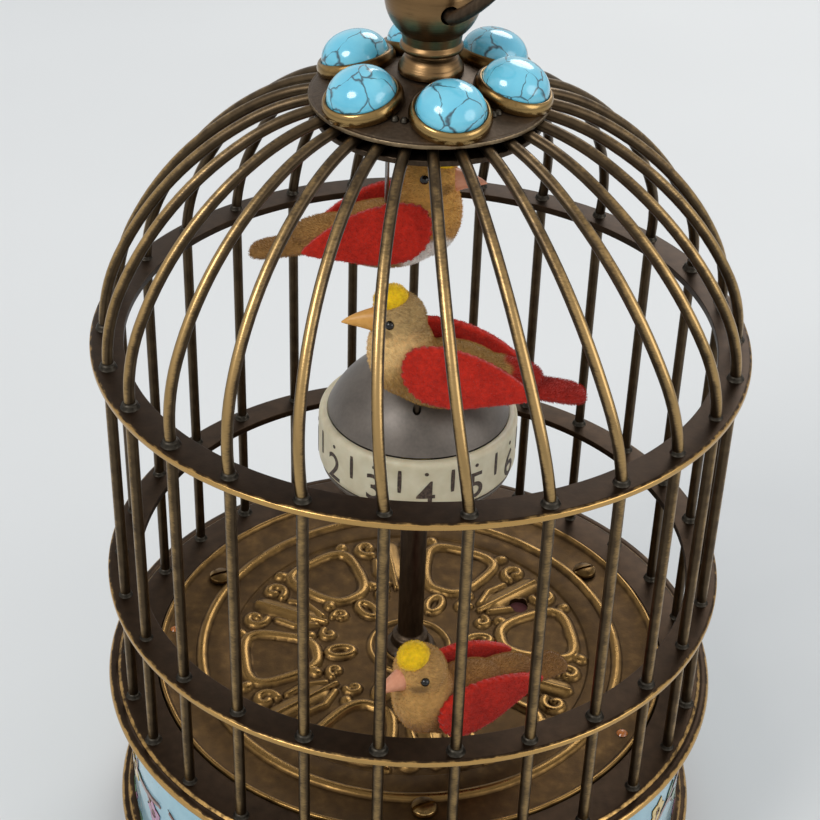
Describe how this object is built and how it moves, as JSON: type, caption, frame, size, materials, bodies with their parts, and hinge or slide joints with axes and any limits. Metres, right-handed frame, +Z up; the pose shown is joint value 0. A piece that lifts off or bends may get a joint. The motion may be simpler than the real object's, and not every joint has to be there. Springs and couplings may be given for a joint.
{
  "type": "birdcage clock",
  "caption": "Round brass wire birdcage clock on an enamelled drum: birds, a ball with a turning number band on a column, turquoise stones round the crown and a carry ring.",
  "frame": {"origin": "centre of the clock's axis at the level of the surface that the four feet stand on", "axes": "+Z up along the clock's axis, -Y toward the front seen in the picture, +X to the viewer's right"},
  "size_m": [0.1232, 0.1232, 0.2077],
  "materials": {
    "antique_bronze": "dark brown bronze patina rubbed through to gold on the edges",
    "rubbed_brass": "satin antique brass, golden where rubbed",
    "plate_brass": "satin brass with light handling marks",
    "steel": "satin steel",
    "spring_steel": "blued spring steel",
    "gunmetal_paint": "satin lead grey",
    "ivory": "satin ivory with dark brown printed numbers",
    "blue_enamel": "glossy light blue enamel with painted branches and blossom",
    "turquoise": "polished turquoise with a dark spider-web matrix",
    "tan_flock": "light body covered with tan flock, painted beak, crest and eyes",
    "red_felt": "red felt"
  },
  "bodies": {
    "base": {"cage": "antique_bronze", "crown_plate": "antique_bronze", "crown_clamp_disc": "rubbed_brass", "crown_nut": "plate_brass", "finial": "rubbed_brass", "cabochon_1": "turquoise", "cabochon_2": "turquoise", "cabochon_3": "turquoise", "cabochon_4": "turquoise", "cabochon_5": "turquoise", "cabochon_6": "turquoise", "ball_dome": "gunmetal_paint", "core_tube": "steel", "column": "rubbed_brass", "tray": "plate_brass", "tray_screw_1": "plate_brass", "tray_screw_2": "plate_brass", "tray_screw_3": "plate_brass", "base_top_ring": "antique_bronze", "base_drum": "blue_enamel", "foot_ring": "antique_bronze", "foot_1": "rubbed_brass", "foot_2": "rubbed_brass", "foot_3": "rubbed_brass", "foot_4": "rubbed_brass", "bottom_cover": "antique_bronze", "movement_bottom_plate": "plate_brass", "movement_top_plate": "plate_brass"},
    "carry_ring": {"carry_ring": "rubbed_brass"},
    "swing_bird": {"bird_hanger": "steel", "swing_bird_body": "tan_flock", "swing_bird_right_wing": "red_felt", "swing_bird_left_wing": "red_felt"},
    "ball_bird": {"ball_bird_body": "tan_flock", "ball_bird_right_wing": "red_felt", "ball_bird_left_wing": "red_felt"},
    "floor_bird": {"floor_bird_body": "tan_flock", "floor_bird_right_wing": "red_felt", "floor_bird_left_wing": "red_felt"},
    "hour": {"hour_band": "ivory", "ball_lower_cap": "gunmetal_paint", "hour_tube": "plate_brass"},
    "rod": {"push_rod": "steel"},
    "lever": {"bird_lever": "steel"},
    "barrel": {"spring_barrel": "plate_brass", "mainspring": "spring_steel"},
    "winder": {"barrel_arbor": "steel", "winding_key": "plate_brass"},
    "centre": {"centre_wheel": "plate_brass", "setting_knob": "plate_brass"},
    "minute": {"minute_wheel": "plate_brass"},
    "third": {"third_wheel": "plate_brass"},
    "fourth": {"fourth_wheel": "plate_brass"},
    "escape": {"escape_wheel": "plate_brass"},
    "pallet": {"pallet_lever": "steel"},
    "balance": {"balance_wheel": "plate_brass", "hairspring": "spring_steel"}
  },
  "joints": [
    {"name": "carry_ring_swing", "type": "hinge", "parent": "base", "child": "carry_ring", "pos_m": [0, 0, 0.1853], "axis": [-0.3502, 0.9367, 0], "range_deg": [-136, 60]},
    {"name": "swing_bird_sway", "type": "hinge", "parent": "base", "child": "swing_bird", "pos_m": [-0.00713, 0.00885, 0.16515], "axis": [0, 1, 0], "range_deg": [-9, 9]},
    {"name": "ball_bird_nod", "type": "hinge", "parent": "base", "child": "ball_bird", "pos_m": [0.0045, -0.01141, 0.12007], "axis": [-0.1045, 0.9945, 0], "range_deg": [-5, 5]},
    {"name": "floor_bird_nod", "type": "hinge", "parent": "base", "child": "floor_bird", "pos_m": [0.00938, -0.02902, 0.05912], "axis": [-0.6018, 0.7986, 0], "range_deg": [-3.5, 3.5]},
    {"name": "rod_lift", "type": "slide", "parent": "base", "child": "rod", "axis": [0, 0, 1], "range_m": [-0.00035, 0.00035], "stiffness_N_per_m": 434},
    {"name": "bird_lever_rock", "type": "hinge", "parent": "base", "child": "lever", "pos_m": [0.00557, -0.01012, 0.0284], "axis": [0.8761, 0.4822, 0], "range_deg": [-2.1, 2.1]},
    {"name": "hour_turn", "type": "hinge", "parent": "base", "child": "hour", "pos_m": [0, 0, 0.0979], "axis": [0, 0, 1], "continuous": true},
    {"name": "barrel_turn", "type": "hinge", "parent": "base", "child": "barrel", "pos_m": [-0.02062, 0.01233, 0.016], "axis": [0, 0, 1], "continuous": true},
    {"name": "winding_turn", "type": "hinge", "parent": "base", "child": "winder", "pos_m": [-0.02062, 0.01233, 0.0132], "axis": [0, 0, 1], "continuous": true},
    {"name": "centre_turn", "type": "hinge", "parent": "base", "child": "centre", "pos_m": [0, 0.02, 0.0132], "axis": [0, 0, 1], "continuous": true},
    {"name": "minute_turn", "type": "hinge", "parent": "base", "child": "minute", "pos_m": [0.0098, 0.01, 0.0325], "axis": [0, 0, 1], "continuous": true},
    {"name": "third_turn", "type": "hinge", "parent": "base", "child": "third", "pos_m": [0.01607, 0.01415, 0.0132], "axis": [0, 0, 1], "continuous": true},
    {"name": "fourth_turn", "type": "hinge", "parent": "base", "child": "fourth", "pos_m": [0.02087, 0.00096, 0.0132], "axis": [0, 0, 1], "continuous": true},
    {"name": "escape_turn", "type": "hinge", "parent": "base", "child": "escape", "pos_m": [0.02717, -0.00995, 0.0132], "axis": [0, 0, 1], "continuous": true},
    {"name": "pallet_rock", "type": "hinge", "parent": "base", "child": "pallet", "pos_m": [0.02237, -0.01827, 0.0132], "axis": [0, 0, 1], "range_deg": [-4, 4]},
    {"name": "balance_swing", "type": "hinge", "parent": "base", "child": "balance", "pos_m": [0.01114, -0.02025, 0.0132], "axis": [0, 0, 1], "range_deg": [-40, 40], "stiffness_Nm_per_rad": 0.00002}
  ],
  "couplings": [
    {"joint": "centre_turn", "follows": "barrel_turn", "ratio": -4},
    {"joint": "third_turn", "follows": "barrel_turn", "ratio": 20},
    {"joint": "minute_turn", "follows": "barrel_turn", "ratio": 1.3333},
    {"joint": "hour_turn", "follows": "barrel_turn", "ratio": -0.33333},
    {"joint": "fourth_turn", "follows": "barrel_turn", "ratio": -100},
    {"joint": "escape_turn", "follows": "barrel_turn", "ratio": 500},
    {"joint": "pallet_rock", "follows": "balance_swing", "ratio": -0.1},
    {"joint": "ball_bird_nod", "follows": "rod_lift", "rad_per_m": 208.33},
    {"joint": "floor_bird_nod", "follows": "rod_lift", "rad_per_m": 145.83},
    {"joint": "bird_lever_rock", "follows": "rod_lift", "rad_per_m": 87.5}
  ]
}
